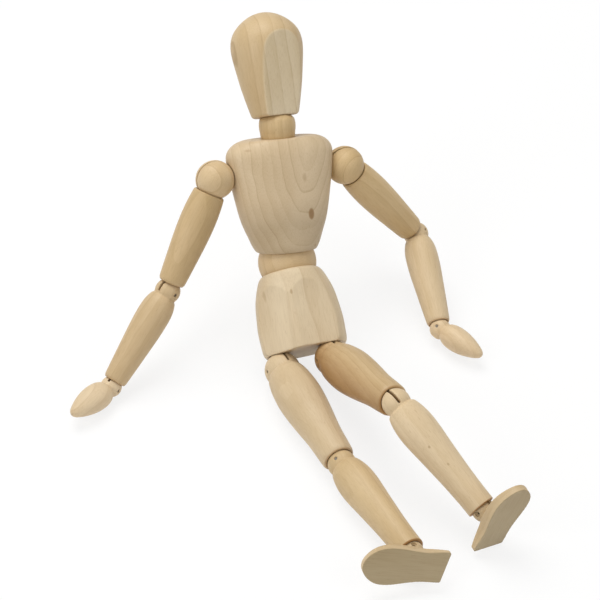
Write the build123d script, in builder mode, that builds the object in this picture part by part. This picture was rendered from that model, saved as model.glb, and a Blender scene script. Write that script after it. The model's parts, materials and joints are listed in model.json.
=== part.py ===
from build123d import *
from math import cos, sin, sqrt, radians
import os

os.makedirs("parts", exist_ok=True)

# A jointed wooden drawing figure, sitting on the ground and leaning back on its hands.
# Every joint is a turned ball that a spring pulls into a hollow. A wire hook at the end
# of the spring goes round a cross pin in a saw slot of the ball.
# Lengths are in millimetres and angles in degrees. Left and right are the figure's own.

# fits and clearances
socket_gap = 0.25  # between a ball and the hollow it sits in
hook_play = 0.08  # between a hook's eye and its pin, and a hook's stem and its spring
bore_gap = 0.3  # between a spring and the hole it lies in
slot_play = 0.2  # on each side of a hook in its saw slot
link_gap = 0.1  # between two hooked wire loops

through = 120.0  # a cut longer than any piece is thick

# wire, pins and springs
wire_radius = 0.45
pin_radius = 0.9
pin_recess = 0.7  # how far a pin ends below the wood
nail_radius = 0.7
spring_wall = 0.7
spring_end = 1.0  # thickness of the closed end coils
hook_head_length = 0.9
hook_head_radius = 1.0
arm_spring_radius = 2.0
leg_spring_radius = 2.4
body_spring_radius = 2.4
spring_ball_gap = 1.2  # from the top of a ball to the end of the spring above it
nail_clearance = 2.2  # how far a spring's bore runs past its nail
nail_grip = 2.5  # how far a nail's hole runs past the spring's bore
waist_bore_radius = 7.4
loop_radius = 2.6  # bend of the two linked loops in the waist and the neck

# head, from the centre of the neck joint
head_bottom = 8.3
head_levels = [
    # height, radius
    (head_bottom, 11.3),
    (head_bottom + 0.9, 12.25),
    (12.5, 13.1),
    (18.0, 14.4),
    (23.5, 15.6),
    (29.0, 16.6),
    (34.5, 17.5),
    (40.0, 18.3),
    (45.5, 18.5),
    (51.0, 17.2),
    (56.6, 12.8),
    (60.2, 7.2),
    (61.8, 0.0),
]
face_slope = 11.7
face_chin_depth = 8.67
head_nail_height = 24.0

# neck
neck_radius = 9.0
neck_bulge = 0.45
neck_seat = 8.0  # radius of the neck where it enters the head's hollow
neck_bore_radius = 4.5

# chest, from the centre of the waist ball
waist_radius = 15.1
waist_rim = 6.4  # from the ball's centre to the rim of the chest and of the pelvis
neck_height = 67.2
neck_rim = 2.6  # from the neck joint's centre down to the chest's top
shoulder_height = 46.6
shoulder_offset = 35.6
shoulder_radius = 10.0
side_pin_reach = 5.0  # from the ball's centre toward the chest
web_start = 206.0  # uncut web of the shoulder ball, from the figure's left, over the top
web_end = 250.0
shoulder_pin_depth = 7.0  # how far the blind pins reach past the saw cut
chest_levels = [
    # height, half width, half depth
    (waist_rim, 15.3, 15.0),
    (waist_rim + 0.9, 16.0, 15.5),
    (13.8, 19.1, 16.0),
    (21.0, 22.0, 16.4),
    (28.5, 24.0, 16.6),
    (36.0, 25.5, 16.6),
    (45.0, 27.2, 16.3),
    (53.0, 28.3, 15.6),
    (57.5, 28.3, 14.8),
    (60.8, 26.6, 13.6),
    (63.4, 23.0, 12.2),
    (neck_height - neck_rim, 18.4, 11.0),
]
chest_nail_height = 32.0
neck_nail_drop = 14.2
oval_power = 0.9  # 1 is an ellipse, less is squarer

# pelvis, from the centre of the waist ball, measured downward
pelvis_levels = [
    (waist_rim, 15.3, 15.0),
    (waist_rim + 1.4, 16.6, 16.0),
    (14.0, 19.2, 16.9),
    (20.0, 20.8, 17.5),
    (27.0, 21.7, 18.0),
    (35.0, 22.3, 18.2),
    (42.0, 22.1, 18.0),
    (46.4, 21.5, 17.4),
    (47.6, 20.6, 16.6),
]
hip_drop = 55.4
hip_offset = 13.2
hip_forward = 5.0
hip_radius = 9.25
facet_turn = 22.0
facet_points = [
    # from the axis forward, and height, seen along each flat
    (-18.6, -10.0),
    (-17.3, -14.5),
    (-16.4, -21.0),
    (-15.9, -34.0),
    (-15.3, -50.0),
]
facet_strip = 0.8  # how far the narrow strip between the flats stands out past them
waist_nail_drop = 27.0
hip_nail_rise = 22.0
hip_nail_inset = 1.6
stand_hole_radius = 2.1
stand_hole_depth = 12.0
stand_hole_drop = 38.0

# arms: levels are distance below the upper joint and radius
upper_arm_length = 62.0
upper_arm_top = 7.4
elbow_radius = 6.6
elbow_rim = 4.6
upper_arm_levels = [
    (upper_arm_top, 7.8),
    (upper_arm_top + 0.8, 8.25),
    (12.5, 8.75),
    (21.0, 9.2),
    (28.0, 9.1),
    (36.0, 8.65),
    (44.0, 8.0),
    (52.0, 7.35),
    (56.0, 6.95),
    (upper_arm_length - elbow_rim, 6.3),
]
forearm_length = 56.6
forearm_top = 3.4
wrist_radius = 5.5
wrist_rim = 3.2
forearm_levels = [
    (forearm_top, 5.9),
    (forearm_top + 0.8, 6.7),
    (8.5, 8.1),
    (15.5, 8.6),
    (22.5, 8.4),
    (30.0, 7.85),
    (38.0, 7.25),
    (46.0, 6.6),
    (52.0, 6.1),
    (forearm_length - wrist_rim, 5.5),
]
forearm_nail_drop = 15.0
forearm_nail_turn = {"right": 0.0, "left": 0.0}
hand_levels = [
    # distance below the wrist, half width, half thickness
    (2.6, 3.2, 3.0),
    (4.2, 5.4, 4.9),
    (7.5, 6.9, 6.2),
    (12.0, 7.4, 6.5),
    (17.5, 6.7, 5.8),
    (22.5, 5.1, 4.4),
    (26.2, 3.3, 2.9),
    (28.0, 1.9, 1.7),
    (28.6, 0.8, 0.8),
]

# legs
thigh_length = 70.0
thigh_top = 3.6
knee_radius = 7.2
knee_rim = 3.3
thigh_levels = [
    (thigh_top, 9.3),
    (thigh_top + 0.8, 9.8),
    (8.0, 10.7),
    (14.0, 11.45),
    (20.0, 11.8),
    (27.0, 11.55),
    (35.0, 10.85),
    (43.0, 9.9),
    (50.0, 9.15),
    (58.0, 8.75),
    (65.2, 8.35),
    (thigh_length - knee_rim, 7.6),
]
shin_length = 67.0
shin_top = 3.6
thigh_nail_drop = 18.0
thigh_nail_turn = {"right": 0.0, "left": 0.0}
shin_nail_drop = 18.0
shin_nail_turn = {"right": 0.0, "left": 0.0}
ankle_radius = 5.8
ankle_rim = 1.6
shin_levels = [
    (shin_top, 7.2),
    (shin_top + 0.8, 7.9),
    (9.0, 9.1),
    (16.0, 9.75),
    (22.0, 9.55),
    (30.0, 8.9),
    (38.0, 8.3),
    (46.0, 7.75),
    (54.0, 7.4),
    (62.0, 7.2),
    (64.8, 7.25),
    (shin_length - ankle_rim, 7.1),
]

# feet
sole_drop = 11.75
toe_reach = 26.2
toe_width_reach = 21.0  # where the toes are toe_half_width wide
toe_half_width = 7.5
toe_shift = 0.5  # of the toes toward the outer side
ball_reach = 13.1
ball_half_width = 9.3
waist_half_width = 7.5
heel_inner = 16.4
heel_outer = 12.0
heel_half_width = 7.75
heel_corner_radius = 1.0
foot_roll = 21.5  # how far the sole leans sideways on its ankle ball, in degrees
foot_offset = 2.6  # from the ankle ball to the sole's middle line, toward the outer side
ankle_stem_radius = 4.2
instep_drop = 5.8
instep_points = [
    # forward of the ankle and height, over the toes, the instep and the heel
    (-30.0, -8.6),
    (-20.0, -7.3),
    (-8.0, -6.1),
    (0.0, -instep_drop),
    (7.0, -6.7),
    (14.0, -8.5),
    (19.0, -9.8),
]
ankle_hole_radius = 1.4  # the wider mouth over the ankle pin
ankle_hole_depth = 1.5

# how the figure is bent, in degrees
pelvis_place = (0.0, 0.0, 46.0)
pelvis_turn = (3.8, -14.9, -54.0)
waist_turn_angle = 28.0
waist_lean_angle = 0.4
chest_bow_angle = 21.5
neck_turn_angle = 9.0
neck_lean_angle = 1.4
head_nod_angle = -8.8
arm_angles = {
    # swing, lift, forearm twist, elbow bend, hand twist, wrist bend
    "right": (8.5, 26.3, -66.1, -11.0, 11.3, -40.9),
    "left": (17.4, -44.0, -30.8, -66.7, -77.3, 38.8),
}
leg_angles = {
    # hip twist, hip bend, shin twist, knee bend, foot twist, ankle bend
    "right": (37.2, -34.4, 42.4, -4.9, -138.0, -22.3),
    "left": (32.8, -58.1, -31.1, 48.6, 37.0, -12.0),
}


def moved(frame, x=0.0, y=0.0, z=0.0):
    """The frame shifted along its own directions."""
    return Plane(frame.location * Location((x, y, z)))


def turned(frame, x=0.0, y=0.0, z=0.0):
    """The frame turned about its own x, y or z direction."""
    return Plane(frame.location * Location((0, 0, 0), (x, y, z)))


def side_plane(frame):
    """The plane that holds the frame's x direction and its z direction."""
    return Plane(origin=frame.origin, x_dir=frame.x_dir, z_dir=-frame.y_dir)


def across_plane(frame):
    """The plane that holds the frame's y direction and its z direction."""
    return Plane(origin=frame.origin, x_dir=frame.y_dir, z_dir=frame.x_dir)


def along_x(frame):
    """The frame with its z direction laid along its old x direction."""
    return Plane(origin=frame.origin, x_dir=frame.y_dir, z_dir=frame.x_dir)


def along_y(frame):
    """The frame with its z direction laid along its old y direction."""
    return Plane(origin=frame.origin, x_dir=frame.x_dir, z_dir=frame.y_dir)


def axis_of(frame):
    return Axis(frame.origin, frame.z_dir)


# where every piece stands, each frame hung on the one before it
frames = {}
pelvis_yaw, pelvis_tilt, pelvis_lean = pelvis_turn
frames["pelvis"] = turned(Plane(origin=pelvis_place), z=pelvis_yaw)
frames["pelvis"] = turned(turned(frames["pelvis"], y=pelvis_tilt), x=pelvis_lean)
frames["waist_hook"] = turned(frames["pelvis"], z=waist_turn_angle)
frames["waist"] = turned(frames["waist_hook"], y=waist_lean_angle)
frames["chest"] = turned(frames["waist"], x=chest_bow_angle)
frames["neck_hook"] = turned(moved(frames["chest"], z=neck_height), z=neck_turn_angle)
frames["neck"] = turned(frames["neck_hook"], y=neck_lean_angle)
frames["head"] = turned(frames["neck"], x=head_nod_angle)
for side, sign in (("right", -1), ("left", 1)):
    swing, lift, forearm_twist, elbow_bend, hand_twist, wrist_bend = arm_angles[side]
    shoulder = moved(frames["chest"], x=sign * shoulder_offset, z=shoulder_height)
    frames[side + "_shoulder"] = turned(shoulder, x=swing)
    frames[side + "_upper_arm"] = turned(frames[side + "_shoulder"], y=lift)
    elbow = moved(frames[side + "_upper_arm"], z=-upper_arm_length)
    frames[side + "_elbow_hook"] = turned(elbow, z=forearm_twist)
    frames[side + "_forearm"] = turned(frames[side + "_elbow_hook"], x=elbow_bend)
    wrist = moved(frames[side + "_forearm"], z=-forearm_length)
    frames[side + "_wrist_hook"] = turned(wrist, z=hand_twist)
    frames[side + "_hand"] = turned(frames[side + "_wrist_hook"], x=wrist_bend)
    hip_twist, hip_bend, shin_twist, knee_bend, foot_twist, ankle_bend = leg_angles[side]
    hip = moved(frames["pelvis"], x=sign * hip_offset, y=-hip_forward, z=-hip_drop)
    frames[side + "_hip_hook"] = turned(hip, z=hip_twist)
    frames[side + "_thigh"] = turned(frames[side + "_hip_hook"], x=hip_bend)
    knee = moved(frames[side + "_thigh"], z=-thigh_length)
    frames[side + "_knee_hook"] = turned(knee, z=shin_twist)
    frames[side + "_shin"] = turned(frames[side + "_knee_hook"], x=knee_bend)
    ankle = moved(frames[side + "_shin"], z=-shin_length)
    frames[side + "_ankle_hook"] = turned(ankle, z=foot_twist)
    frames[side + "_foot"] = turned(frames[side + "_ankle_hook"], x=ankle_bend)


def turn_ball(frame, radius, mode=Mode.ADD):
    """A ball about the frame's centre."""
    with BuildSketch(side_plane(frame)) as outline:
        with BuildLine():
            CenterArc((0, 0), radius, -90, 180)
            Line((0, radius), (0, -radius))
        make_face()
    revolve(outline.sketch, axis=axis_of(frame), mode=mode)


def turn_rod(frame, radius, low, high, mode=Mode.ADD):
    """A round rod along the frame's z direction, or a drilled hole."""
    with BuildSketch(moved(frame, z=low)) as outline:
        Circle(radius)
    extrude(outline.sketch, amount=high - low, mode=mode)


def turn_ring(frame, bend_radius, mode=Mode.ADD):
    """A closed eye of wire about the frame's z direction."""
    with BuildSketch(side_plane(frame)) as outline:
        with Locations((bend_radius, 0)):
            Circle(wire_radius)
    revolve(outline.sketch, axis=axis_of(frame), mode=mode)


def turn_limb(frame, levels):
    """A turned limb: a smooth side between a flat shoulder and a flat lower end."""
    top_drop, top_radius = levels[0]
    low_drop, low_radius = levels[-1]
    side_points = [(radius, -drop) for drop, radius in levels[1:-1]]
    with BuildSketch(side_plane(frame)) as outline:
        with BuildLine():
            Line((0, -top_drop), (top_radius, -top_drop))
            Line((top_radius, -top_drop), side_points[0])
            Spline(side_points)
            Line(side_points[-1], (low_radius, -low_drop))
            Line((low_radius, -low_drop), (0, -low_drop))
            Line((0, -low_drop), (0, -top_drop))
        make_face()
    revolve(outline.sketch, axis=axis_of(frame))


def eye_radius(pin):
    """Bend of the eye that goes round a pin."""
    return pin + hook_play + wire_radius


def saw_slot(frame, ball_radius):
    """The saw cut for a hook, from the top of the ball to just past its pin."""
    half_width = wire_radius + slot_play
    depth = eye_radius(pin_radius) + wire_radius + slot_play
    with BuildSketch(moved(frame, z=-depth)) as outline:
        Rectangle(2 * half_width, 3 * ball_radius)
    extrude(outline.sketch, amount=depth + 1.5 * ball_radius, mode=Mode.SUBTRACT)


def pin_hole(frame, ball_radius):
    turn_rod(along_x(frame), pin_radius, -ball_radius - 1, ball_radius + 1, Mode.SUBTRACT)


def spring_bore(frame, radius, low, high):
    turn_rod(frame, radius + bore_gap, low, high, Mode.SUBTRACT)


def inward(frame, sign):
    """The frame with its z direction laid toward the middle of the figure."""
    return Plane(origin=frame.origin, x_dir=frame.y_dir, z_dir=-sign * frame.x_dir)


def flipped(frame):
    """The frame turned over, with its z direction pointing down."""
    return turned(frame, x=180)


def size_at(levels, place, column=1):
    """The radius or half size of a piece at one of its levels, or between two."""
    for lower, upper in zip(levels, levels[1:]):
        if lower[0] <= place <= upper[0]:
            share = (place - lower[0]) / (upper[0] - lower[0])
            return lower[column] + share * (upper[column] - lower[column])
    return levels[-1][column]


def oval(frame, height, half_width, half_depth):
    """A rounded outline, a little squarer than an ellipse."""
    points = []
    for step in range(16):
        angle = radians(step * 22.5 + 11.25)
        across = abs(cos(angle)) ** oval_power * (1 if cos(angle) > 0 else -1)
        deep = abs(sin(angle)) ** oval_power * (1 if sin(angle) > 0 else -1)
        points.append((half_width * across, half_depth * deep))
    with BuildSketch(moved(frame, z=height)) as outline:
        with BuildLine():
            Spline(points, periodic=True)
        make_face()
    return outline.sketch


def tube_of_coils(frame, radius, start, end, open_start=True, open_end=False):
    """A closely wound spring, with a hole for a hook's stem in each open end."""
    turn_rod(frame, radius, start, end)
    turn_rod(frame, radius - spring_wall, start + spring_end, end - spring_end, Mode.SUBTRACT)
    hole = wire_radius + hook_play
    if open_start:
        turn_rod(frame, hole, start - 1, start + spring_end + 0.1, Mode.SUBTRACT)
    if open_end:
        turn_rod(frame, hole, end - spring_end - 0.1, end + 1, Mode.SUBTRACT)


def nailed_spring(frame, radius, start, nail_place, nail_plane):
    """A spring that starts above its joint and ends in an eye round a nail."""
    tube_of_coils(frame, radius, start, nail_place - nail_radius - bore_gap)
    turn_ring(nail_plane(moved(frame, z=nail_place)), eye_radius(nail_radius))


def hook_stem(frame, start, spring_start):
    """The stem of a hook and the head that turns inside the spring's end."""
    head_start = spring_start + spring_end + hook_play
    turn_rod(frame, wire_radius, start, head_start + hook_head_length)
    turn_rod(frame, hook_head_radius, head_start, head_start + hook_head_length)


def pin_hook(frame, spring_start):
    """A hook with its eye round a cross pin and its stem up in the spring."""
    bend = eye_radius(pin_radius)
    turn_ring(along_x(frame), bend)
    hook_stem(frame, bend, spring_start)


def link_offset():
    """From the joint's centre to the middle of a linked loop."""
    return loop_radius - wire_radius - link_gap / 2


def nail_rod(frame, far_reach, near_reach, mode=Mode.ADD):
    """A nail along the frame's y direction, driven in from its positive side."""
    turn_rod(along_y(frame), nail_radius, -far_reach, near_reach, mode)


def nail_far_reach(radius):
    return radius + bore_gap + nail_grip


# head and neck


def neck_dome():
    """Radius of the rounded top of the neck."""
    return sqrt(neck_seat**2 + (head_bottom - socket_gap) ** 2)


def make_head():
    frame = frames["head"]
    profile = [(radius, height) for height, radius in head_levels]
    bottom = profile[0][1]
    dish = neck_dome() + socket_gap
    with BuildPart() as head:
        with BuildSketch(side_plane(frame)):
            with BuildLine():
                Line((0, bottom), profile[0])
                Line(profile[0], profile[1])
                Spline(profile[1:], tangents=[(0.25, 1), (-1, 0)])
                Line(profile[-1], (0, bottom))
            make_face()
        revolve(axis=axis_of(frame))
        face = turned(moved(frame, y=-face_chin_depth, z=head_bottom), x=90 + face_slope)
        with BuildSketch(face):
            Rectangle(through, through)
        extrude(amount=through, mode=Mode.SUBTRACT)
        turn_ball(frame, dish, Mode.SUBTRACT)
        turn_rod(frame, body_spring_radius + bore_gap, 0, head_nail_height + nail_clearance, Mode.SUBTRACT)
        nail_place = moved(frame, z=head_nail_height)
        nail_rod(nail_place, nail_far_reach(body_spring_radius), through, Mode.SUBTRACT)
    return head.part


def make_head_spring():
    frame = frames["head"]
    dish = neck_dome() + socket_gap
    start = dish + spring_ball_gap
    with BuildPart() as head_spring:
        tube_of_coils(frame, body_spring_radius, start, head_nail_height - nail_radius - bore_gap, False)
        turn_ring(along_y(moved(frame, z=head_nail_height)), eye_radius(nail_radius))
        turn_ring(along_y(moved(frame, z=link_offset())), loop_radius)
        turn_rod(frame, wire_radius, link_offset() + loop_radius, start + spring_end)
    return head_spring.part


def make_head_nail():
    frame = moved(frames["head"], z=head_nail_height)
    near = size_at(head_levels, head_nail_height) - pin_recess
    with BuildPart() as head_nail:
        nail_rod(frame, nail_far_reach(body_spring_radius), near)
    return head_nail.part


def make_neck():
    frame = frames["neck"]
    dome = neck_dome()
    side_top = sqrt(dome**2 - neck_radius**2)
    middle = (neck_radius + neck_bulge, side_top / 2)
    with BuildPart() as neck:
        with BuildSketch(side_plane(frame)):
            with BuildLine():
                CenterArc((0, 0), neck_radius, -90, 90)
                ThreePointArc((neck_radius, 0), middle, (neck_radius, side_top))
                RadiusArc((neck_radius, side_top), (0, dome), -dome)
                Line((0, dome), (0, -neck_radius))
            make_face()
        revolve(axis=axis_of(frame))
        turn_rod(frame, neck_bore_radius, -2 * neck_radius, 2 * neck_radius, Mode.SUBTRACT)
    return neck.part


def make_neck_hook():
    frame = flipped(frames["neck_hook"])
    with BuildPart() as neck_hook:
        turn_ring(along_x(moved(frame, z=link_offset())), loop_radius)
        hook_stem(frame, link_offset() + loop_radius, neck_radius + spring_ball_gap)
    return neck_hook.part


# chest and waist


def make_chest():
    frame = frames["chest"]
    neck_place = moved(frame, z=neck_height)
    neck_nail = moved(frame, z=neck_height - neck_nail_drop)
    bore_top = chest_nail_height + nail_clearance
    with BuildPart() as chest:
        loft([oval(frame, *level) for level in chest_levels])
        turn_ball(frame, waist_radius + socket_gap, Mode.SUBTRACT)
        spring_bore(frame, body_spring_radius, 0, bore_top)
        turn_ball(neck_place, neck_radius + socket_gap, Mode.SUBTRACT)
        spring_bore(flipped(neck_place), body_spring_radius, 0, neck_nail_drop + nail_clearance)
        for sign in (-1, 1):
            shoulder = moved(frame, x=sign * shoulder_offset, z=shoulder_height)
            turn_ball(shoulder, shoulder_radius + socket_gap, Mode.SUBTRACT)
        cross = along_x(moved(frame, z=shoulder_height))
        spring_bore(cross, body_spring_radius, -shoulder_offset, shoulder_offset)
        far = nail_far_reach(body_spring_radius)
        nail_rod(moved(frame, z=chest_nail_height), far, through, Mode.SUBTRACT)
        nail_rod(neck_nail, far, through, Mode.SUBTRACT)
    return chest.part


def make_chest_nails():
    frame = frames["chest"]
    far = nail_far_reach(body_spring_radius)
    with BuildPart() as chest_nails:
        for height in (chest_nail_height, neck_height - neck_nail_drop):
            near = size_at(chest_levels, height, 2) - pin_recess
            nail_rod(moved(frame, z=height), far, near)
    return chest_nails.part


def make_chest_springs():
    frame = frames["chest"]
    start = waist_radius + spring_ball_gap
    reach = shoulder_offset - shoulder_radius - spring_ball_gap
    end = chest_nail_height - nail_radius - bore_gap
    neck_place = flipped(moved(frame, z=neck_height))
    with BuildPart() as chest_springs:
        tube_of_coils(frame, body_spring_radius, start, end, False)
        turn_ring(along_y(moved(frame, z=chest_nail_height)), eye_radius(nail_radius))
        turn_ring(along_y(moved(frame, z=link_offset())), loop_radius)
        turn_rod(frame, wire_radius, link_offset() + loop_radius, start + spring_end)
        cross = along_x(moved(frame, z=shoulder_height))
        tube_of_coils(cross, body_spring_radius, -reach, reach, True, True)
        neck_start = neck_radius + spring_ball_gap
        nailed_spring(neck_place, body_spring_radius, neck_start, neck_nail_drop, along_y)
    return chest_springs.part


def make_waist():
    frame = frames["waist"]
    with BuildPart() as waist:
        turn_ball(frame, waist_radius)
        turn_rod(frame, waist_bore_radius, -2 * waist_radius, 2 * waist_radius, Mode.SUBTRACT)
    return waist.part


def make_waist_hook():
    frame = flipped(frames["waist_hook"])
    with BuildPart() as waist_hook:
        turn_ring(along_x(moved(frame, z=link_offset())), loop_radius)
        hook_stem(frame, link_offset() + loop_radius, waist_radius + spring_ball_gap)
    return waist_hook.part


# pelvis


def hip_place(sign):
    return moved(frames["pelvis"], x=sign * hip_offset, y=-hip_forward, z=-hip_drop)


def make_pelvis():
    frame = frames["pelvis"]
    bottom = pelvis_levels[-1][0]
    far = nail_far_reach(body_spring_radius)
    with BuildPart() as pelvis:
        loft([oval(frame, -drop, wide, deep) for drop, wide, deep in pelvis_levels])
        for turn, strip in ((-facet_turn, 0), (facet_turn, 0), (0, facet_strip)):
            with BuildSketch(across_plane(moved(turned(frame, z=turn), y=-strip))):
                with BuildLine():
                    Spline(facet_points)
                    Line(facet_points[-1], (-through, facet_points[-1][1]))
                    Line((-through, facet_points[-1][1]), (-through, facet_points[0][1]))
                    Line((-through, facet_points[0][1]), facet_points[0])
                make_face()
            extrude(amount=through, both=True, mode=Mode.SUBTRACT)
        turn_ball(frame, waist_radius + socket_gap, Mode.SUBTRACT)
        spring_bore(flipped(frame), body_spring_radius, 0, waist_nail_drop + nail_clearance)
        nail_rod(moved(frame, z=-waist_nail_drop), far, through, Mode.SUBTRACT)
        for sign in (-1, 1):
            turn_ball(hip_place(sign), hip_radius + socket_gap, Mode.SUBTRACT)
            spring_bore(hip_place(sign), leg_spring_radius, 0, hip_nail_rise + nail_clearance)
        hip_nail = along_x(moved(hip_place(1), z=hip_nail_rise))
        reach = nail_far_reach(leg_spring_radius)
        turn_rod(hip_nail, nail_radius, -through, reach, Mode.SUBTRACT)
        stand = along_y(moved(frame, z=-stand_hole_drop))
        back = size_at(pelvis_levels, stand_hole_drop, 2)
        turn_rod(stand, stand_hole_radius, back - stand_hole_depth, 2 * back, Mode.SUBTRACT)
    return pelvis.part


def make_pelvis_nails():
    frame = frames["pelvis"]
    hip_nail_drop = hip_drop - hip_nail_rise
    with BuildPart() as pelvis_nails:
        near = size_at(pelvis_levels, waist_nail_drop, 2) - pin_recess
        nail_rod(moved(frame, z=-waist_nail_drop), nail_far_reach(body_spring_radius), near)
        side = size_at(pelvis_levels, hip_nail_drop) - hip_nail_inset
        end = hip_offset + nail_far_reach(leg_spring_radius)
        turn_rod(along_x(moved(frame, y=-hip_forward, z=-hip_nail_drop)), nail_radius, -side, end)
    return pelvis_nails.part


def make_pelvis_springs():
    frame = frames["pelvis"]
    with BuildPart() as pelvis_springs:
        start = waist_radius + spring_ball_gap
        nailed_spring(flipped(frame), body_spring_radius, start, waist_nail_drop, along_y)
        start = hip_radius + spring_ball_gap
        for sign in (-1, 1):
            nailed_spring(hip_place(sign), leg_spring_radius, start, hip_nail_rise, along_x)
    return pelvis_springs.part


# arms


def make_shoulder(side, sign):
    frame = frames[side + "_shoulder"]
    half_width = wire_radius + slot_play
    eye = eye_radius(pin_radius) + wire_radius + slot_play
    reach = 2 * shoulder_radius
    first = radians(web_start if sign > 0 else 180 - web_start)
    last = radians(web_end if sign > 0 else 180 - web_end)
    corner = (reach * cos(first), reach * sin(first))
    other = (reach * cos(last), reach * sin(last))
    with BuildPart() as shoulder:
        turn_ball(frame, shoulder_radius)
        with BuildSketch(side_plane(frame)):
            Circle(shoulder_radius + 1)
            with BuildLine():
                Polyline((0, 0), corner, other, close=True)
            make_face(mode=Mode.SUBTRACT)
            Circle(eye)
        extrude(amount=half_width, both=True, mode=Mode.SUBTRACT)
        for place in (frame, moved(frame, x=-sign * side_pin_reach)):
            turn_rod(along_y(place), pin_radius, -shoulder_pin_depth, reach, Mode.SUBTRACT)
    return shoulder.part


def make_shoulder_pins(side, sign):
    frame = frames[side + "_shoulder"]
    with BuildPart() as shoulder_pins:
        for reach in (0, side_pin_reach):
            near = sqrt(shoulder_radius**2 - (reach + pin_radius) ** 2) - pin_recess
            place = along_y(moved(frame, x=-sign * reach))
            turn_rod(place, pin_radius, -shoulder_pin_depth, near)
    return shoulder_pins.part


def make_shoulder_hook(side, sign):
    frame = frames[side + "_shoulder"]
    bend = eye_radius(pin_radius)
    with BuildPart() as shoulder_hook:
        turn_ring(along_y(moved(frame, x=-sign * side_pin_reach)), bend)
        start = side_pin_reach + bend
        hook_stem(inward(frame, sign), start, shoulder_radius + spring_ball_gap)
    return shoulder_hook.part


def make_upper_arm(side):
    frame = frames[side + "_upper_arm"]
    elbow = moved(frame, z=-upper_arm_length)
    with BuildPart() as upper_arm:
        turn_limb(frame, upper_arm_levels)
        turn_ball(frame, shoulder_radius + socket_gap, Mode.SUBTRACT)
        turn_ball(elbow, elbow_radius + socket_gap, Mode.SUBTRACT)
        spring_bore(elbow, arm_spring_radius, 0, upper_arm_length)
    return upper_arm.part


def make_arm_spring(side):
    frame = frames[side + "_upper_arm"]
    elbow = moved(frame, z=-upper_arm_length)
    bend = eye_radius(pin_radius)
    start = elbow_radius + spring_ball_gap
    end = upper_arm_length - shoulder_radius - spring_ball_gap
    with BuildPart() as arm_spring:
        tube_of_coils(elbow, arm_spring_radius, start, end)
        turn_ring(along_y(frame), bend)
        turn_rod(elbow, wire_radius, end - spring_end, upper_arm_length - bend)
    return arm_spring.part


def make_hook(side, joint, ball_radius):
    frame = frames[side + joint]
    with BuildPart() as hook:
        pin_hook(frame, ball_radius + spring_ball_gap)
    return hook.part


def make_limb(frame, levels, ball, length, lower_ball, spring, nail_drop, nail_turn):
    """A limb with a ball on top, a hollow below and a spring between."""
    lower = moved(frame, z=-length)
    with BuildPart() as limb:
        turn_limb(frame, levels)
        turn_ball(frame, ball)
        turn_ball(lower, lower_ball + socket_gap, Mode.SUBTRACT)
        spring_bore(lower, spring, 0, length - nail_drop + nail_clearance)
        saw_slot(frame, ball)
        pin_hole(frame, ball)
        nail_place = turned(moved(frame, z=-nail_drop), z=nail_turn)
        nail_rod(nail_place, nail_far_reach(spring), 3 * ball, Mode.SUBTRACT)
    return limb.part


def make_limb_pins(frame, levels, ball, spring, nail_drop, nail_turn):
    """The cross pin of the upper ball and the nail that holds the spring."""
    with BuildPart() as pins:
        turn_rod(along_x(frame), pin_radius, pin_recess - ball, ball - pin_recess)
        nail_place = turned(moved(frame, z=-nail_drop), z=nail_turn)
        near = size_at(levels, nail_drop) - pin_recess
        nail_rod(nail_place, nail_far_reach(spring), near)
    return pins.part


def make_limb_spring(frame, length, lower_ball, spring, nail_drop, nail_turn):
    lower = turned(moved(frame, z=-length), z=nail_turn)
    with BuildPart() as limb_spring:
        start = lower_ball + spring_ball_gap
        nailed_spring(lower, spring, start, length - nail_drop, along_y)
    return limb_spring.part


def make_hand(side):
    frame = frames[side + "_hand"]
    with BuildPart() as hand:
        for drop, half_width, half_thickness in hand_levels:
            with BuildSketch(moved(frame, z=-drop)):
                Ellipse(half_width, half_thickness)
        loft()
        turn_ball(frame, wrist_radius)
        saw_slot(frame, wrist_radius)
        pin_hole(frame, wrist_radius)
    return hand.part


def make_pin(frame, ball):
    with BuildPart() as pin:
        turn_rod(along_x(frame), pin_radius, pin_recess - ball, ball - pin_recess)
    return pin.part


# feet


def sole_outline(sign):
    """Half widths and reaches round the sole, from the heel's outer to its inner corner."""
    inner = -sign
    return [
        (-inner * heel_half_width, heel_outer),
        (-inner * waist_half_width, 1.0),
        (-inner * ball_half_width, -ball_reach),
        (-inner * (toe_half_width + toe_shift), -toe_width_reach),
        (-inner * toe_shift, -toe_reach),
        (inner * (toe_half_width - toe_shift), -toe_width_reach),
        (inner * ball_half_width, -ball_reach),
        (inner * waist_half_width, 3.0),
        (inner * heel_half_width, heel_inner),
    ]


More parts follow.
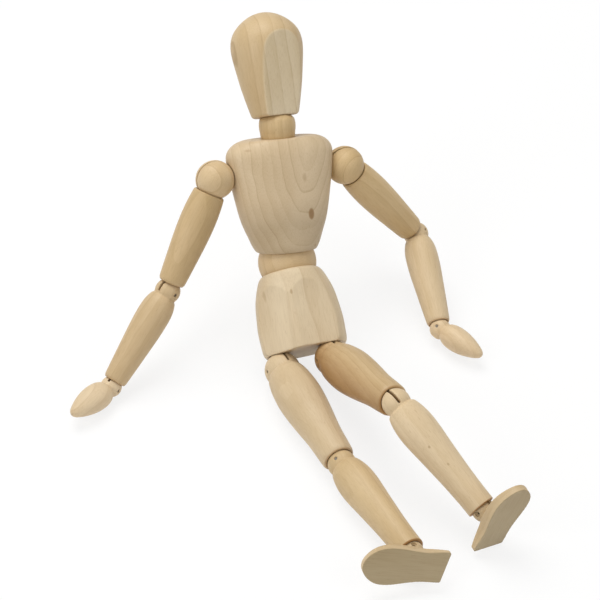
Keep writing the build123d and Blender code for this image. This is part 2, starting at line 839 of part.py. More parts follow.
def make_foot(side, sign):
    frame = frames[side + "_foot"]
    leaning = turned(frame, y=sign * foot_roll)
    sole = moved(leaning, x=sign * foot_offset)
    outline = sole_outline(sign)
    height = sole_drop - instep_drop
    with BuildPart() as foot:
        with BuildSketch(moved(sole, z=-sole_drop)) as tread:
            with BuildLine():
                Line(outline[-1], outline[0])
                Spline(outline, tangents=[(0, -1), (0, 1)])
            make_face()
            heel_corners = tread.vertices().sort_by(lambda corner: sole.to_local_coords(corner).Y)[-2:]
            fillet(heel_corners, heel_corner_radius)
        extrude(amount=height)
        with BuildSketch(across_plane(sole)):
            with BuildLine():
                Spline(instep_points)
                Line(instep_points[-1], (through, instep_points[-1][1]))
                Line((through, instep_points[-1][1]), (through, through))
                Line((through, through), (-through, through))
                Line((-through, through), (-through, instep_points[0][1]))
                Line((-through, instep_points[0][1]), instep_points[0])
            make_face()
        extrude(amount=through, both=True, mode=Mode.SUBTRACT)
        turn_ball(frame, ankle_radius)
        turn_rod(leaning, ankle_stem_radius, -instep_drop - 1, 0)
        saw_slot(frame, ankle_radius)
        pin_hole(frame, ankle_radius)
        for way in (-1, 1):
            mouth = ankle_radius - ankle_hole_depth
            place = along_x(frame) if way > 0 else flipped(along_x(frame))
            turn_rod(place, ankle_hole_radius, mouth, 2 * ankle_radius, Mode.SUBTRACT)
    return foot.part


parts = {}
parts["head"] = make_head()
parts["head_spring"] = make_head_spring()
parts["head_nail"] = make_head_nail()
parts["neck"] = make_neck()
parts["neck_hook"] = make_neck_hook()
parts["chest"] = make_chest()
parts["chest_nails"] = make_chest_nails()
parts["chest_springs"] = make_chest_springs()
parts["waist"] = make_waist()
parts["waist_hook"] = make_waist_hook()
parts["pelvis"] = make_pelvis()
parts["pelvis_nails"] = make_pelvis_nails()
parts["pelvis_springs"] = make_pelvis_springs()
for side, sign in (("right", -1), ("left", 1)):
    parts[side + "_shoulder"] = make_shoulder(side, sign)
    parts[side + "_shoulder_pins"] = make_shoulder_pins(side, sign)
    parts[side + "_shoulder_hook"] = make_shoulder_hook(side, sign)
    parts[side + "_upper_arm"] = make_upper_arm(side)
    parts[side + "_arm_spring"] = make_arm_spring(side)
    parts[side + "_elbow_hook"] = make_hook(side, "_elbow_hook", elbow_radius)
    forearm = frames[side + "_forearm"]
    turn = forearm_nail_turn[side]
    lower = (forearm_length, wrist_radius, arm_spring_radius, forearm_nail_drop, turn)
    parts[side + "_forearm"] = make_limb(forearm, forearm_levels, elbow_radius, *lower)
    parts[side + "_forearm_pins"] = make_limb_pins(
        forearm, forearm_levels, elbow_radius, arm_spring_radius, forearm_nail_drop, turn
    )
    parts[side + "_forearm_spring"] = make_limb_spring(forearm, *lower)
    parts[side + "_wrist_hook"] = make_hook(side, "_wrist_hook", wrist_radius)
    parts[side + "_hand"] = make_hand(side)
    parts[side + "_hand_pin"] = make_pin(frames[side + "_hand"], wrist_radius)
    parts[side + "_hip_hook"] = make_hook(side, "_hip_hook", hip_radius)
    thigh = frames[side + "_thigh"]
    turn = thigh_nail_turn[side]
    lower = (thigh_length, knee_radius, leg_spring_radius, thigh_nail_drop, turn)
    parts[side + "_thigh"] = make_limb(thigh, thigh_levels, hip_radius, *lower)
    parts[side + "_thigh_pins"] = make_limb_pins(
        thigh, thigh_levels, hip_radius, leg_spring_radius, thigh_nail_drop, turn
    )
    parts[side + "_thigh_spring"] = make_limb_spring(thigh, *lower)
    parts[side + "_knee_hook"] = make_hook(side, "_knee_hook", knee_radius)
    shin = frames[side + "_shin"]
    turn = shin_nail_turn[side]
    lower = (shin_length, ankle_radius, leg_spring_radius, shin_nail_drop, turn)
    parts[side + "_shin"] = make_limb(shin, shin_levels, knee_radius, *lower)
    parts[side + "_shin_pins"] = make_limb_pins(
        shin, shin_levels, knee_radius, leg_spring_radius, shin_nail_drop, turn
    )
    parts[side + "_shin_spring"] = make_limb_spring(shin, *lower)
    parts[side + "_ankle_hook"] = make_hook(side, "_ankle_hook", ankle_radius)
    parts[side + "_foot"] = make_foot(side, sign)
    parts[side + "_foot_pin"] = make_pin(frames[side + "_foot"], ankle_radius - ankle_hole_depth)

# the whole figure is set down with the middle of its base on the origin
boxes = [part.bounding_box() for part in parts.values()]
middle_x = (min(box.min.X for box in boxes) + max(box.max.X for box in boxes)) / 2
middle_y = (min(box.min.Y for box in boxes) + max(box.max.Y for box in boxes)) / 2
floor_z = min(box.min.Z for box in boxes)
set_down = Location((-middle_x, -middle_y, -floor_z))
for name, part in parts.items():
    placed = part.moved(set_down)
    placed.label = name
    export_step(placed, "parts/" + name + ".step")
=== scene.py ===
import json
from math import cos, radians, sin

import bpy
from mathutils import Euler, Matrix, Vector


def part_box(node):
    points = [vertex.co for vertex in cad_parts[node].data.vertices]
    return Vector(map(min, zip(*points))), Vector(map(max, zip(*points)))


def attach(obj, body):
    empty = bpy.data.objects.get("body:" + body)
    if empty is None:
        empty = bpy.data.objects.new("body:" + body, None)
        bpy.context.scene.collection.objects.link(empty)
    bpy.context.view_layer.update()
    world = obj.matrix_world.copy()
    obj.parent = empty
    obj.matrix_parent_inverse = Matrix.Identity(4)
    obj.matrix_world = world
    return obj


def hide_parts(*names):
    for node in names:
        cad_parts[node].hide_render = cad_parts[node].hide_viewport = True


# The looks of a jointed wooden figure: sanded wood, steel springs and pins, and a pale studio.
# Places are in metres, and in mm where a name or a comment says so.

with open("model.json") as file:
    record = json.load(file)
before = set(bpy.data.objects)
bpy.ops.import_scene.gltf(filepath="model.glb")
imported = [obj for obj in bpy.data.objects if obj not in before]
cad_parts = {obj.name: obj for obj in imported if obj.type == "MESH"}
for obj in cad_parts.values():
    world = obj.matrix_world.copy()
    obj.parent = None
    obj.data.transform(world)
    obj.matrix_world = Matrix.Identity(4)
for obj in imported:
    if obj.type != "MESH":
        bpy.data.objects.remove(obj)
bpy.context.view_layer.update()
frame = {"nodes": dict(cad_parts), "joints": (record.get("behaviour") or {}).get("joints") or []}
nodes = frame["nodes"]
joints = {joint["name"]: joint for joint in frame["joints"]}
sides = ("right", "left")
mm = 0.001


# where each piece stands: its own directions, read from the joints


def joint_place(name):
    return Vector(joints[name]["pos_m"])


def joint_axis(name):
    return Vector(joints[name]["axis"]).normalized()


def middle_of(node):
    low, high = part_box(node)
    return (low + high) / 2


def standing(origin, z_way, x_way):
    """A place at origin with z along z_way and x as near x_way as it can be."""
    z_way = z_way.normalized()
    y_way = z_way.cross(x_way).normalized()
    x_way = y_way.cross(z_way)
    turn = Matrix((x_way, y_way, z_way)).transposed()
    return Matrix.Translation(origin) @ turn.to_4x4()


def sole_way(node):
    """The direction out of a foot's sole, its largest flat face."""
    areas = {}
    for face in nodes[node].data.polygons:
        key = tuple(round(part, 2) for part in face.normal)
        areas[key] = areas.get(key, 0) + face.area
    return Vector(max(areas, key=areas.get)).normalized()


def body_places():
    """Places of the pieces on the middle line, each at its own ball's centre."""
    waist = joint_place("chest_bow")
    neck = joint_place("head_nod")
    bow_axis = joint_axis("chest_bow")
    nod_axis = joint_axis("head_nod")
    turn_axis = joint_axis("waist_turn")
    spine = joint_axis("neck_turn")
    hip_line = joint_place("left_hip_bend") - joint_place("right_hip_bend")
    return {
        "pelvis": standing(waist, turn_axis, hip_line),
        "chest": standing(waist, spine, bow_axis),
        "waist": standing(waist, turn_axis + spine, bow_axis),
        "neck": standing(neck, nod_axis.cross(joint_axis("neck_lean")), nod_axis),
        "head": standing(neck, middle_of("head_spring") - neck, nod_axis),
    }


def limb_places(side):
    """Places of one side's pieces, each at its upper joint with z up along the piece."""
    shoulder = joint_place(side + "_arm_lift")
    elbow = joint_place(side + "_elbow_bend")
    wrist = joint_place(side + "_wrist_bend")
    hip = joint_place(side + "_hip_bend")
    knee = joint_place(side + "_knee_bend")
    ankle = joint_place(side + "_ankle_bend")
    swing_axis = joint_axis(side + "_shoulder_swing")
    lift_axis = joint_axis(side + "_arm_lift")
    elbow_axis = joint_axis(side + "_elbow_bend")
    wrist_axis = joint_axis(side + "_wrist_bend")
    hip_axis = joint_axis(side + "_hip_bend")
    knee_axis = joint_axis(side + "_knee_bend")
    ankle_axis = joint_axis(side + "_ankle_bend")
    arm_up = shoulder - elbow
    hand_up = wrist - middle_of(side + "_hand")
    foot_up = -sole_way(side + "_foot")
    return {
        side + "_shoulder": standing(shoulder, swing_axis.cross(lift_axis), swing_axis),
        side + "_upper_arm": standing(shoulder, arm_up, lift_axis.cross(arm_up)),
        side + "_forearm": standing(elbow, elbow - wrist, elbow_axis),
        side + "_hand": standing(wrist, hand_up, wrist_axis),
        side + "_thigh": standing(hip, hip - knee, hip_axis),
        side + "_shin": standing(knee, knee - ankle, knee_axis),
        side + "_foot": standing(ankle, foot_up, ankle_axis),
    }


places = body_places()
for side in sides:
    places.update(limb_places(side))


# wooden pieces: copies of the CAD nodes with their sharp edges sanded off

weld_gap = 0.000001
rub_strength = 0.5

# grit, the cell size of the new skin, in mm, and rounds of rubbing
body_sanding = (0.46, 3)
limb_sanding = (0.40, 2)
small_sanding = (0.30, 2)
foot_sanding = (0.22, 4)


def pick_only(piece):
    bpy.ops.object.select_all(action="DESELECT")
    piece.select_set(True)
    bpy.context.view_layer.objects.active = piece


def sanded(node, body, sanding):
    """A copy of a wooden node with its edges sanded soft, in the node's stead."""
    grit, rounds = sanding
    mesh = nodes[node].data.copy()
    piece = bpy.data.objects.new(node + "_wood", mesh)
    bpy.context.scene.collection.objects.link(piece)
    pick_only(piece)
    bpy.ops.object.mode_set(mode="EDIT")
    bpy.ops.mesh.select_all(action="SELECT")
    bpy.ops.mesh.remove_doubles(threshold=weld_gap)
    bpy.ops.object.mode_set(mode="OBJECT")
    skin = piece.modifiers.new("skin", "REMESH")
    skin.mode = "VOXEL"
    skin.voxel_size = grit * mm
    bpy.ops.object.modifier_apply(modifier=skin.name)
    rub = piece.modifiers.new("rub", "SMOOTH")
    rub.factor = rub_strength
    rub.iterations = rounds
    bpy.ops.object.modifier_apply(modifier=rub.name)
    bpy.ops.object.shade_smooth()
    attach(piece, body)
    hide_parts(node)
    return piece


sandings = {node: body_sanding for node in ("head", "neck", "chest", "waist", "pelvis")}
for side in sides:
    for kind in ("upper_arm", "forearm", "thigh", "shin"):
        sandings[side + "_" + kind] = limb_sanding
    for kind in ("shoulder", "hand"):
        sandings[side + "_" + kind] = small_sanding
    sandings[side + "_foot"] = foot_sanding
wooden = {node: sanded(node, node, sanding) for node, sanding in sandings.items()}


# shader helpers: most add one node to a tree and give back what it puts out

# a Mix node has several sockets of each name, so its colour sockets go by number
mix_factor = 0
mix_first = 6
mix_second = 7
mix_colour = 2


def feed(tree, value, socket):
    """Give a socket a plain value, or link it when the value is an output."""
    if isinstance(value, (int, float, tuple)):
        socket.default_value = value
    else:
        tree.links.new(value, socket)


def maths(tree, operation, first, second=None, clamp=False):
    node = tree.nodes.new("ShaderNodeMath")
    node.operation = operation
    node.use_clamp = clamp
    feed(tree, first, node.inputs[0])
    if second is not None:
        feed(tree, second, node.inputs[1])
    return node.outputs[0]


def vector_maths(tree, operation, first, second):
    node = tree.nodes.new("ShaderNodeVectorMath")
    node.operation = operation
    feed(tree, first, node.inputs[0])
    feed(tree, second, node.inputs[1])
    return node.outputs["Vector"]


def length_of(tree, vector):
    node = tree.nodes.new("ShaderNodeVectorMath")
    node.operation = "LENGTH"
    feed(tree, vector, node.inputs[0])
    return node.outputs["Value"]


def ranged(tree, value, low, high, out_low=0.0, out_high=1.0):
    """A soft step from out_low at low to out_high at high."""
    node = tree.nodes.new("ShaderNodeMapRange")
    node.interpolation_type = "SMOOTHSTEP"
    feed(tree, value, node.inputs["Value"])
    feed(tree, low, node.inputs["From Min"])
    feed(tree, high, node.inputs["From Max"])
    feed(tree, out_low, node.inputs["To Min"])
    feed(tree, out_high, node.inputs["To Max"])
    return node.outputs["Result"]


def cloudy(tree, vector, scale, detail, rough):
    """Noise from 0 to 1, mostly near 0.5."""
    node = tree.nodes.new("ShaderNodeTexNoise")
    feed(tree, vector, node.inputs["Vector"])
    feed(tree, scale, node.inputs["Scale"])
    feed(tree, detail, node.inputs["Detail"])
    feed(tree, rough, node.inputs["Roughness"])
    return node.outputs["Fac"]


def tinted(tree, amount, first, second, kind="MIX"):
    """Two colours mixed by an amount; each may be a colour or an output."""
    node = tree.nodes.new("ShaderNodeMix")
    node.data_type = "RGBA"
    node.blend_type = kind
    feed(tree, amount, node.inputs[mix_factor])
    feed(tree, first, node.inputs[mix_first])
    feed(tree, second, node.inputs[mix_second])
    return node.outputs[mix_colour]


def mixed_shaders(tree, amount, first, second):
    node = tree.nodes.new("ShaderNodeMixShader")
    feed(tree, amount, node.inputs["Fac"])
    feed(tree, first, node.inputs[1])
    feed(tree, second, node.inputs[2])
    return node.outputs["Shader"]


def object_coordinates(tree):
    return tree.nodes.new("ShaderNodeTexCoord").outputs["Object"]


def roughened(tree, shader, height, strength, distance):
    """Small bumps on a shader's surface."""
    bump = tree.nodes.new("ShaderNodeBump")
    feed(tree, strength, bump.inputs["Strength"])
    feed(tree, distance, bump.inputs["Distance"])
    feed(tree, height, bump.inputs["Height"])
    feed(tree, bump.outputs["Normal"], shader.inputs["Normal"])


def opaque(colour):
    """A colour's red, green and blue with a full alpha."""
    return (*colour, 1.0)


def new_material(name):
    """A material, its node tree and its main shader."""
    material = bpy.data.materials.new(name)
    material.use_nodes = True
    tree = material.node_tree
    return material, tree, tree.nodes["Principled BSDF"]


def painted(piece, material):
    piece.data.materials.clear()
    piece.data.materials.append(material)


# shader groups: every wood shares them, each with its own values


def new_group(name, inputs, outputs):
    """A shader group with its named inputs and outputs, and its two end nodes."""
    group = bpy.data.node_groups.new(name, "ShaderNodeTree")
    for socket, kind, start in inputs:
        made = group.interface.new_socket(name=socket, in_out="INPUT", socket_type=kind)
        if start is not None:
            made.default_value = start
    for socket, kind in outputs:
        group.interface.new_socket(name=socket, in_out="OUTPUT", socket_type=kind)
    start_node = group.nodes.new("NodeGroupInput")
    end_node = group.nodes.new("NodeGroupOutput")
    return group, start_node, end_node


def placed_group(tree, group, vector, values):
    node = tree.nodes.new("ShaderNodeGroup")
    node.node_tree = group
    feed(tree, vector, node.inputs["Vector"])
    for socket, value in values.items():
        feed(tree, value, node.inputs[socket])
    return node


def pattern(tree, vector, along, scale, detail, rough):
    """A cloudy pattern drawn out along z; the smaller along is, the longer it is drawn."""
    stretched = vector_maths(tree, "MULTIPLY", vector, (1.0, 1.0, along))
    return cloudy(tree, stretched, scale, detail, rough)


cloud_mean = 0.5
drift_reach = 6.0
# the share of a year's ring at which its dark line fades in and out, and late wood deepens
line_start = (0.84, 0.95)
line_end = (1.0, 0.965)
late_wood = (0.15, 0.93)
# the higher, the fewer years have a strong line
faint_years = 2.2
faintest_line = 0.06
broken_line = 0.45
# cloud values between which pores appear
pore_edge = (0.69, 0.76)
fibre_rise = 0.6
pore_depth = 0.5
line_depth = 0.25


def rings_from_heart(group, vector, gap, waver):
    """The distance from the z axis counted in rings, with a slow drift that bends them."""
    split = group.nodes.new("ShaderNodeSeparateXYZ")
    feed(group, vector, split.inputs[0])
    x_square = maths(group, "POWER", split.outputs["X"], 2.0)
    y_square = maths(group, "POWER", split.outputs["Y"], 2.0)
    radius = maths(group, "SQRT", maths(group, "ADD", x_square, y_square))
    drift = pattern(group, vector, along=0.28, scale=0.07, detail=2.0, rough=0.45)
    drift = maths(group, "SUBTRACT", drift, cloud_mean)
    drift = maths(group, "MULTIPLY", drift, maths(group, "MULTIPLY", waver, drift_reach))
    return maths(group, "DIVIDE", maths(group, "ADD", radius, drift), gap)


def ring_line(group, vector, turns, part):
    """The dark line that ends each year, of uneven strength and broken in places."""
    year = group.nodes.new("ShaderNodeTexWhiteNoise")
    year.noise_dimensions = "1D"
    feed(group, maths(group, "FLOOR", turns), year.inputs["W"])
    strength = maths(group, "POWER", year.outputs["Value"], faint_years)
    starts = ranged(group, part, *line_start)
    ends = ranged(group, part, *line_end)
    line = maths(group, "MULTIPLY", starts, ends)
    line = maths(group, "MULTIPLY", line, ranged(group, strength, 0.0, 0.8, faintest_line))
    broken = pattern(group, vector, along=0.2, scale=0.9, detail=3.0, rough=0.6)
    return maths(group, "MULTIPLY", line, ranged(group, broken, 0.25, 0.6, broken_line))


def grain_height(group, fibre, pores, line):
    """How high the skin stands: fibres stand up, pores and ring lines lie low."""
    ridge = maths(group, "MULTIPLY", fibre, fibre_rise)
    ridge = maths(group, "SUBTRACT", ridge, maths(group, "MULTIPLY", pores, pore_depth))
    return maths(group, "SUBTRACT", ridge, maths(group, "MULTIPLY", line, line_depth))


def make_grain_group():
    """Growth rings about the z direction, fibres along it and short pores, in mm."""
    inputs = [
        ("Vector", "NodeSocketVector", None),
        ("Ring Gap", "NodeSocketFloat", 5.0),
        ("Waver", "NodeSocketFloat", 1.5),
    ]
    output_names = ("Ring", "Late", "Fibre", "Pore", "Blotch", "Height")
    outputs = [(name, "NodeSocketFloat") for name in output_names]
    group, start, end = new_group("wood grain", inputs, outputs)
    vector = start.outputs["Vector"]
    gap = start.outputs["Ring Gap"]
    turns = rings_from_heart(group, vector, gap, start.outputs["Waver"])
    part = maths(group, "FRACT", turns)
    line = ring_line(group, vector, turns, part)
    fibre = pattern(group, vector, along=0.035, scale=2.6, detail=4.0, rough=0.62)
    pits = pattern(group, vector, along=0.16, scale=2.1, detail=1.0, rough=0.4)
    pores = ranged(group, pits, *pore_edge)
    blotch = pattern(group, vector, along=0.4, scale=0.055, detail=3.0, rough=0.5)
    feed(group, line, end.inputs["Ring"])
    feed(group, ranged(group, part, *late_wood), end.inputs["Late"])
    feed(group, fibre, end.inputs["Fibre"])
    feed(group, pores, end.inputs["Pore"])
    feed(group, blotch, end.inputs["Blotch"])
    feed(group, grain_height(group, fibre, pores, line), end.inputs["Height"])
    return group


def make_spot_group():
    """An oval mark: 1 inside, 0 outside, with a soft rim."""
    inputs = [
        ("Vector", "NodeSocketVector", None),
        ("Centre", "NodeSocketVector", (0.0, 0.0, 0.0)),
        ("Size", "NodeSocketVector", (1.0, 1.0, 1.0)),
        ("Softness", "NodeSocketFloat", 0.2),
    ]
    group, start, end = new_group("oval mark", inputs, [("Mark", "NodeSocketFloat")])
    shift = vector_maths(group, "SUBTRACT", start.outputs["Vector"], start.outputs["Centre"])
    scaled = vector_maths(group, "DIVIDE", shift, start.outputs["Size"])
    over = maths(group, "SUBTRACT", length_of(group, scaled), 1.0)
    fade = maths(group, "DIVIDE", over, start.outputs["Softness"])
    feed(group, maths(group, "SUBTRACT", 1.0, fade, True), end.inputs["Mark"])
    return group


grain_group = make_grain_group()
spot_group = make_spot_group()


# the wood of each piece: its colours, its grain and its marks


def within(place, shift, turns):
    """The place reached by a shift in mm and then turns in degrees within another place."""
    turned = Euler([radians(part) for part in turns]).to_matrix().to_4x4()
    return place @ Matrix.Translation(Vector(shift) * mm) @ turned


def local_mm(tree, place):
    """Object coordinates turned into the piece's own place, in mm."""
    mapping = tree.nodes.new("ShaderNodeMapping")
    mapping.vector_type = "TEXTURE"
    mapping.inputs["Location"].default_value = place.to_translation()
    mapping.inputs["Rotation"].default_value = place.to_euler("XYZ")
    mapping.inputs["Scale"].default_value = (mm, mm, mm)
    feed(tree, object_coordinates(tree), mapping.inputs["Vector"])
    return mapping.outputs["Vector"]


# how strongly each part of the grain shows in the colour
late_shade = 0.30
blotch_shade = 0.62
fibre_shade = 0.16
pore_shade = 0.22
# the brown of fibres, pores and rings, as a share of the deep colour
browning = (0.55, 0.42, 0.30)


def wood_colour(tree, grain, pale, deep, ring_shade):
    """Pale wood with deeper late growth, and brown fibres, pores and ring lines."""
    late = maths(tree, "MULTIPLY", grain.outputs["Late"], late_shade)
    blotch = ranged(tree, grain.outputs["Blotch"], 0.30, 0.72, 0.0, blotch_shade)
    colour = tinted(tree, maths(tree, "ADD", late, blotch, True), opaque(pale), opaque(deep))
    brown = opaque(part * share for part, share in zip(deep, browning))
    fibre = ranged(tree, grain.outputs["Fibre"], 0.42, 0.70, 0.0, fibre_shade)
    pore = maths(tree, "MULTIPLY", grain.outputs["Pore"], pore_shade)
    ring = maths(tree, "MULTIPLY", grain.outputs["Ring"], ring_shade)
    for amount in (fibre, pore, ring):
        colour = tinted(tree, amount, colour, brown)
    return colour


def marked(tree, colour, place, own_marks):
    """The colour with a piece's marks on it, each in a place of its own or the piece's."""
    coordinates = {}
    for mark_place, centre, size, softness, blend, tone, amount in own_marks:
        if mark_place not in coordinates:
            coordinates[mark_place] = local_mm(tree, mark_places.get(mark_place, place))
        values = {"Centre": centre, "Size": size, "Softness": softness}
        mark = placed_group(tree, spot_group, coordinates[mark_place], values)
        strength = maths(tree, "MULTIPLY", mark.outputs["Mark"], amount)
        colour = tinted(tree, strength, colour, opaque(tone), blend)
    return colour


wood_roughness = (0.46, 0.62)


def wood(name, place, own_tones, grain_look, own_marks):
    """A sanded wood for one piece, in the piece's place."""
    pale, deep = own_tones
    pith, tilt, gap, ring_shade, waver = grain_look
    material, tree, shader = new_material(name)
    heart = local_mm(tree, within(place, pith, tilt))
    grain = placed_group(tree, grain_group, heart, {"Ring Gap": gap, "Waver": waver})
    colour = wood_colour(tree, grain, pale, deep, ring_shade)
    feed(tree, marked(tree, colour, place, own_marks), shader.inputs["Base Color"])
    rough = ranged(tree, grain.outputs["Fibre"], 0.3, 0.75, *wood_roughness)
    feed(tree, rough, shader.inputs["Roughness"])
    shader.inputs["Specular IOR Level"].default_value = 0.32
    shader.inputs["Coat Weight"].default_value = 0.08
    shader.inputs["Coat Roughness"].default_value = 0.35
    roughened(tree, shader, grain.outputs["Height"], strength=0.22, distance=0.08 * mm)
    return material


amber_tones = ((0.640, 0.470, 0.255), (0.535, 0.370, 0.175))
foot_tones = ((0.62, 0.48, 0.295), (0.53, 0.39, 0.215))
tones = {
    # the pale and the deep colour of a piece's wood
    "head": ((0.615, 0.465, 0.275), (0.520, 0.370, 0.190)),
    "neck": amber_tones,
    "chest": ((0.665, 0.525, 0.345), (0.560, 0.420, 0.252)),
    "waist": ((0.66, 0.49, 0.285), (0.56, 0.395, 0.20)),
    "pelvis": ((0.70, 0.575, 0.395), (0.60, 0.47, 0.30)),
    "right_shoulder": ((0.66, 0.50, 0.30), (0.56, 0.40, 0.21)),
    "left_shoulder": amber_tones,
    "right_upper_arm": ((0.59, 0.43, 0.235), (0.48, 0.335, 0.16)),
    "left_upper_arm": amber_tones,
    "right_forearm": ((0.62, 0.465, 0.275), (0.52, 0.37, 0.195)),
    "left_forearm": ((0.69, 0.54, 0.345), (0.59, 0.44, 0.25)),
    "right_hand": ((0.715, 0.570, 0.380), (0.610, 0.460, 0.280)),
    "left_hand": ((0.72, 0.56, 0.36), (0.61, 0.45, 0.26)),
    "right_thigh": ((0.66, 0.52, 0.335), (0.565, 0.425, 0.25)),
    "left_thigh": ((0.61, 0.455, 0.265), (0.51, 0.36, 0.185)),
    "right_shin": ((0.62, 0.465, 0.265), (0.535, 0.385, 0.20)),
    "left_shin": ((0.74, 0.585, 0.38), (0.63, 0.475, 0.28)),
    "right_foot": foot_tones,
    "left_foot": foot_tones,
}
grain_looks = {
    # where the rings' centre passes in mm, its lean in degrees, the gap between rings in mm,
    # how dark the rings are, how much they waver
    "head": ((-58, 14, 0), (3, -5, 0), 6.4, 0.36, 0.5),
    "neck": ((-30, 22, 0), (0, 0, 0), 3.8, 0.18, 0.4),
    "chest": ((12, -19, 62), (-27, 6, 0), 4.6, 0.26, 0.9),
    "waist": ((20, 30, 0), (0, 88, 0), 5.0, 0.20, 0.6),
    "pelvis": ((34, 30, 0), (4, 3, 0), 7.5, 0.16, 0.8),
    "right_shoulder": ((24, 16, 0), (8, 30, 0), 5.0, 0.16, 0.6),
    "left_shoulder": ((-20, 22, 0), (0, 20, 0), 5.0, 0.20, 0.6),
    "right_upper_arm": ((22, 26, 0), (1, 1, 0), 4.2, 0.18, 0.5),
    "left_upper_arm": ((-16, -20, 0), (2, 0, 0), 5.0, 0.16, 0.5),
    "right_forearm": ((26, 8, 0), (0, 2, 0), 4.4, 0.18, 0.6),
    "left_forearm": ((30, -14, 0), (0, 1, 0), 6.0, 0.12, 0.6),
    "right_hand": ((12, 24, 0), (14, 0, 0), 5.0, 0.14, 0.6),
    "left_hand": ((-10, 25, 0), (-10, 0, 0), 5.0, 0.14, 0.6),
    "right_thigh": ((36, 20, 0), (1, 0, 0), 6.6, 0.12, 0.6),
    "left_thigh": ((9, -12, 0), (5, 2, 0), 3.4, 0.18, 0.6),
    "right_shin": ((-30, 24, 0), (1, 1, 0), 6.0, 0.12, 0.6),
    "left_shin": ((28, -22, 0), (0, 1, 0), 6.4, 0.12, 0.6),
    "right_foot": ((0, 0, 30), (90, 0, 4), 5.5, 0.12, 0.5),
    "left_foot": ((0, 0, 34), (90, 0, -3), 5.5, 0.12, 0.5),
}


# marks on the wood: knots, rims and painted light and shade, each an oval in mm

knot_brown = (0.34, 0.20, 0.085)
knot_dark = (0.22, 0.12, 0.045)
chip_pale = (0.82, 0.72, 0.55)
rim_brown = (0.36, 0.17, 0.045)
# painted light: this tone makes the head's face flat lighter and greyer
painted_face_light = (1.14, 1.26, 1.48)
# painted shade low on the chest, near the waist
painted_chest_shade = (0.80, 0.80, 0.80)
# painted shade on the soles
painted_sole_shade = (0.74, 0.76, 0.76)
# painted shade, warm with bounced light, under the left thigh
painted_underside_shade = (0.72, 0.55, 0.38)

# the face is a flat on the head's front, whose lower end is the chin; in mm and degrees
chin_depth = 8.67
chin_height = 8.3
face_slope = 11.7

# painted shade: the left thigh is warmer and darker towards this side, for the pelvis's shadow and
# warm bounced light
thigh_underside = Vector((-0.35, -0.45, -0.82))
x_direction = Vector((1, 0, 0))
mark_places = {
    "face": within(places["head"], (0, -chin_depth, chin_height), (90 + face_slope, 0, 0)),
    "under thigh": standing(middle_of("left_thigh"), thigh_underside, x_direction),
}


def spot(centre, size, softness, amount, tone=knot_brown):
    """A small mark of another colour on a piece's skin."""
    return (None, centre, size, softness, "MIX", tone, amount)


def shade(centre, size, softness, tone, amount=1.0, place=None):
    """A broad area of painted light or shade, whose colour is multiplied by a tone."""
    return (place, centre, size, softness, "MULTIPLY", tone, amount)


marks = {
    "head": [
        # painted light on the face flat
        shade((0, 0, 0), (60, 80, 0.5), 1.2, painted_face_light, place="face"),
        spot((-14.0, -6.0, 33.0), (0.7, 0.7, 1.0), 0.8, 0.6, chip_pale),
    ],
    "chest": [
        # painted shade low on the chest
        shade((0, 0, 0), (60, 60, 22), 0.6, painted_chest_shade, 0.85),
        spot((9.5, -16.4, 25.5), (1.45, 4.0, 2.5), 0.35, 0.85),
        spot((9.5, -16.4, 25.5), (0.8, 4.0, 1.6), 0.9, 0.4, knot_dark),
        spot((11.5, -16.4, 8.6), (0.6, 4.0, 0.9), 0.8, 0.55),
        spot((7.0, -16.4, 44.5), (0.7, 4.0, 1.3), 1.2, 0.35),
        spot((-20.5, -14.0, 60.5), (1.2, 4.0, 0.5), 1.0, 0.45),
    ],
    "pelvis": [
        spot((-13.5, -14.0, -17.5), (0.5, 4.0, 1.8), 1.0, 0.3),
        spot((1.2, -17.5, -19.0), (0.45, 4.0, 0.9), 0.8, 0.5),
    ],
    # painted shade under the left thigh
    "left_thigh": [shade((0, 0, 14), (200, 200, 10), 1.3, painted_underside_shade, 0.9, "under thigh")],
    "left_shin": [
        spot((-3.0, -8.0, -28.0), (0.4, 4.0, 0.5), 0.8, 0.5),
        spot((-1.0, -8.0, -40.0), (0.35, 4.0, 0.5), 0.8, 0.4),
    ],
}
rims = {
    # how far below its upper joint a limb's lower rim lies in mm, how brown the rim is
    "upper_arm": (57.4, 0.25),
    "forearm": (53.4, 0.35),
    "thigh": (66.7, 0.35),
    "shin": (65.4, 0.8),
}
rim_size = (40, 40, 0.35)
sole_size = (90, 90, 0.4)
sole_drop = 12.0
for side in sides:
    for kind, (drop, amount) in rims.items():
        rim = spot((0, 0, -drop), rim_size, 0.8, amount, rim_brown)
        marks.setdefault(side + "_" + kind, []).append(rim)
    # painted shade on each sole
    marks[side + "_foot"] = [shade((0, 0, -sole_drop), sole_size, 0.6, painted_sole_shade)]

for node, piece in wooden.items():
    material = wood(node + " wood", places[node], tones[node], grain_looks[node], marks.get(node, ()))
    painted(piece, material)


# steel


def make_steel(name, bright, dark, rough):
    """Drawn steel wire, dulled by handling."""
    material, tree, shader = new_material(name)
    coordinates = object_coordinates(tree)
    patches = cloudy(tree, coordinates, scale=900.0, detail=3.0, rough=0.6)
    scratches = pattern(tree, coordinates, along=6.0, scale=2600.0, detail=2.0, rough=0.6)
    colour = tinted(tree, ranged(tree, patches, 0.35, 0.7), opaque(bright), opaque(dark))
    feed(tree, colour, shader.inputs["Base Color"])
    uneven = ranged(tree, scratches, 0.3, 0.7, rough - 0.08, rough + 0.12)
    feed(tree, uneven, shader.inputs["Roughness"])
    shader.inputs["Metallic"].default_value = 1.0
    roughened(tree, shader, scratches, strength=0.15, distance=0.02 * mm)
    return material


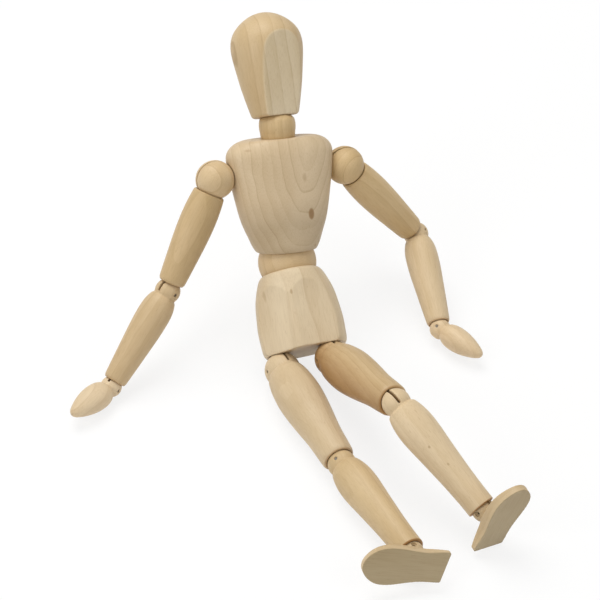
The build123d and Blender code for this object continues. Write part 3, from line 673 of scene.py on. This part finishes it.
nail_steel = make_steel("nail steel", (0.36, 0.33, 0.29), (0.20, 0.16, 0.12), 0.42)
spring_steel = make_steel("spring steel", (0.52, 0.52, 0.52), (0.34, 0.33, 0.32), 0.34)
for name, node in nodes.items():
    if name in wooden:
        continue
    painted(node, spring_steel if "spring" in name or "hook" in name else nail_steel)


# floor, light and camera, in metres

white = (1.0, 1.0, 1.0)
floor_width = 8.0
floor_drop = 0.0002
floor_grey = (0.93, 0.93, 0.93)

# the floor's own white glow hides its shading more and more between these distances
fade_start = 0.20
fade_end = 0.55
near_glow = 0.80
far_glow = 1.0

sky_tint = (0.97, 0.985, 1.0)
sky_strength = 0.38
lit_point = (0, 0, 0.05)
lamps = {
    # place, width, power in watts, colour
    "overhead": ((-0.25, 0.45, 1.35), 1.1, 14.0, (1.0, 0.99, 0.97)),
    "front left": ((-0.9, -0.7, 0.9), 0.8, 5.0, (1.0, 0.985, 0.96)),
    "front right": ((0.9, -0.6, 0.9), 0.8, 2.5, (1.0, 0.985, 0.96)),
}

looking_down = radians(43.275)
away = 1331.68 * mm
aim = Vector((3.172, 67.217, 1.325)) * mm
lens_length = 150.08
sensor_width = 36.0


def make_floor():
    """A pale floor that the camera sees fade to white away from the object."""
    bpy.ops.object.select_all(action="DESELECT")
    bpy.ops.mesh.primitive_plane_add(size=floor_width, location=(0, 0, -floor_drop))
    floor = bpy.context.active_object
    floor.name = "floor"
    bpy.ops.object.transform_apply(location=True, rotation=True, scale=True)
    material, tree, shader = new_material("pale floor")
    shader.inputs["Base Color"].default_value = opaque(floor_grey)
    shader.inputs["Roughness"].default_value = 0.8
    shader.inputs["Specular IOR Level"].default_value = 0.1
    glow = tree.nodes.new("ShaderNodeEmission")
    glow.inputs["Color"].default_value = opaque(white)
    path = tree.nodes.new("ShaderNodeLightPath")
    seen = maths(tree, "MAXIMUM", path.outputs["Is Camera Ray"], path.outputs["Is Glossy Ray"])
    distance = length_of(tree, object_coordinates(tree))
    whiteness = ranged(tree, distance, fade_start, fade_end, near_glow, far_glow)
    amount = maths(tree, "MULTIPLY", seen, whiteness)
    surface = mixed_shaders(tree, amount, shader.outputs["BSDF"], glow.outputs["Emission"])
    feed(tree, surface, tree.nodes["Material Output"].inputs["Surface"])
    painted(floor, material)


def make_world():
    """Soft light from all around, seen by the camera as white."""
    world = bpy.data.worlds.new("studio")
    bpy.context.scene.world = world
    world.use_nodes = True
    tree = world.node_tree
    soft = tree.nodes["Background"]
    soft.inputs["Color"].default_value = opaque(sky_tint)
    soft.inputs["Strength"].default_value = sky_strength
    backdrop = tree.nodes.new("ShaderNodeBackground")
    backdrop.inputs["Color"].default_value = opaque(white)
    backdrop.inputs["Strength"].default_value = 1.0
    seen = tree.nodes.new("ShaderNodeLightPath").outputs["Is Camera Ray"]
    surface = mixed_shaders(tree, seen, soft.outputs["Background"], backdrop.outputs["Background"])
    feed(tree, surface, tree.nodes["World Output"].inputs["Surface"])


def make_lamp(name, place, size, power, colour):
    """A round area lamp that faces the object."""
    lamp = bpy.data.lights.new(name, "AREA")
    lamp.shape = "DISK"
    lamp.size = size
    lamp.energy = power
    lamp.color = colour
    holder = bpy.data.objects.new(name, lamp)
    bpy.context.scene.collection.objects.link(holder)
    holder.location = place
    way = Vector(lit_point) - Vector(place)
    holder.rotation_euler = way.to_track_quat("-Z", "Y").to_euler()


def make_camera():
    """A distant camera that looks along +y and down at the object."""
    data = bpy.data.cameras.new("camera")
    data.lens = lens_length
    data.sensor_width = sensor_width
    camera = bpy.data.objects.new("camera", data)
    bpy.context.scene.collection.objects.link(camera)
    camera.location = aim + away * Vector((0, -cos(looking_down), sin(looking_down)))
    camera.rotation_euler = (radians(90) - looking_down, 0, 0)
    bpy.context.scene.camera = camera


make_floor()
make_world()
for name, (place, width, power, colour) in lamps.items():
    make_lamp(name, place, width, power, colour)
make_camera()
bpy.context.scene.view_settings.view_transform = "Standard"
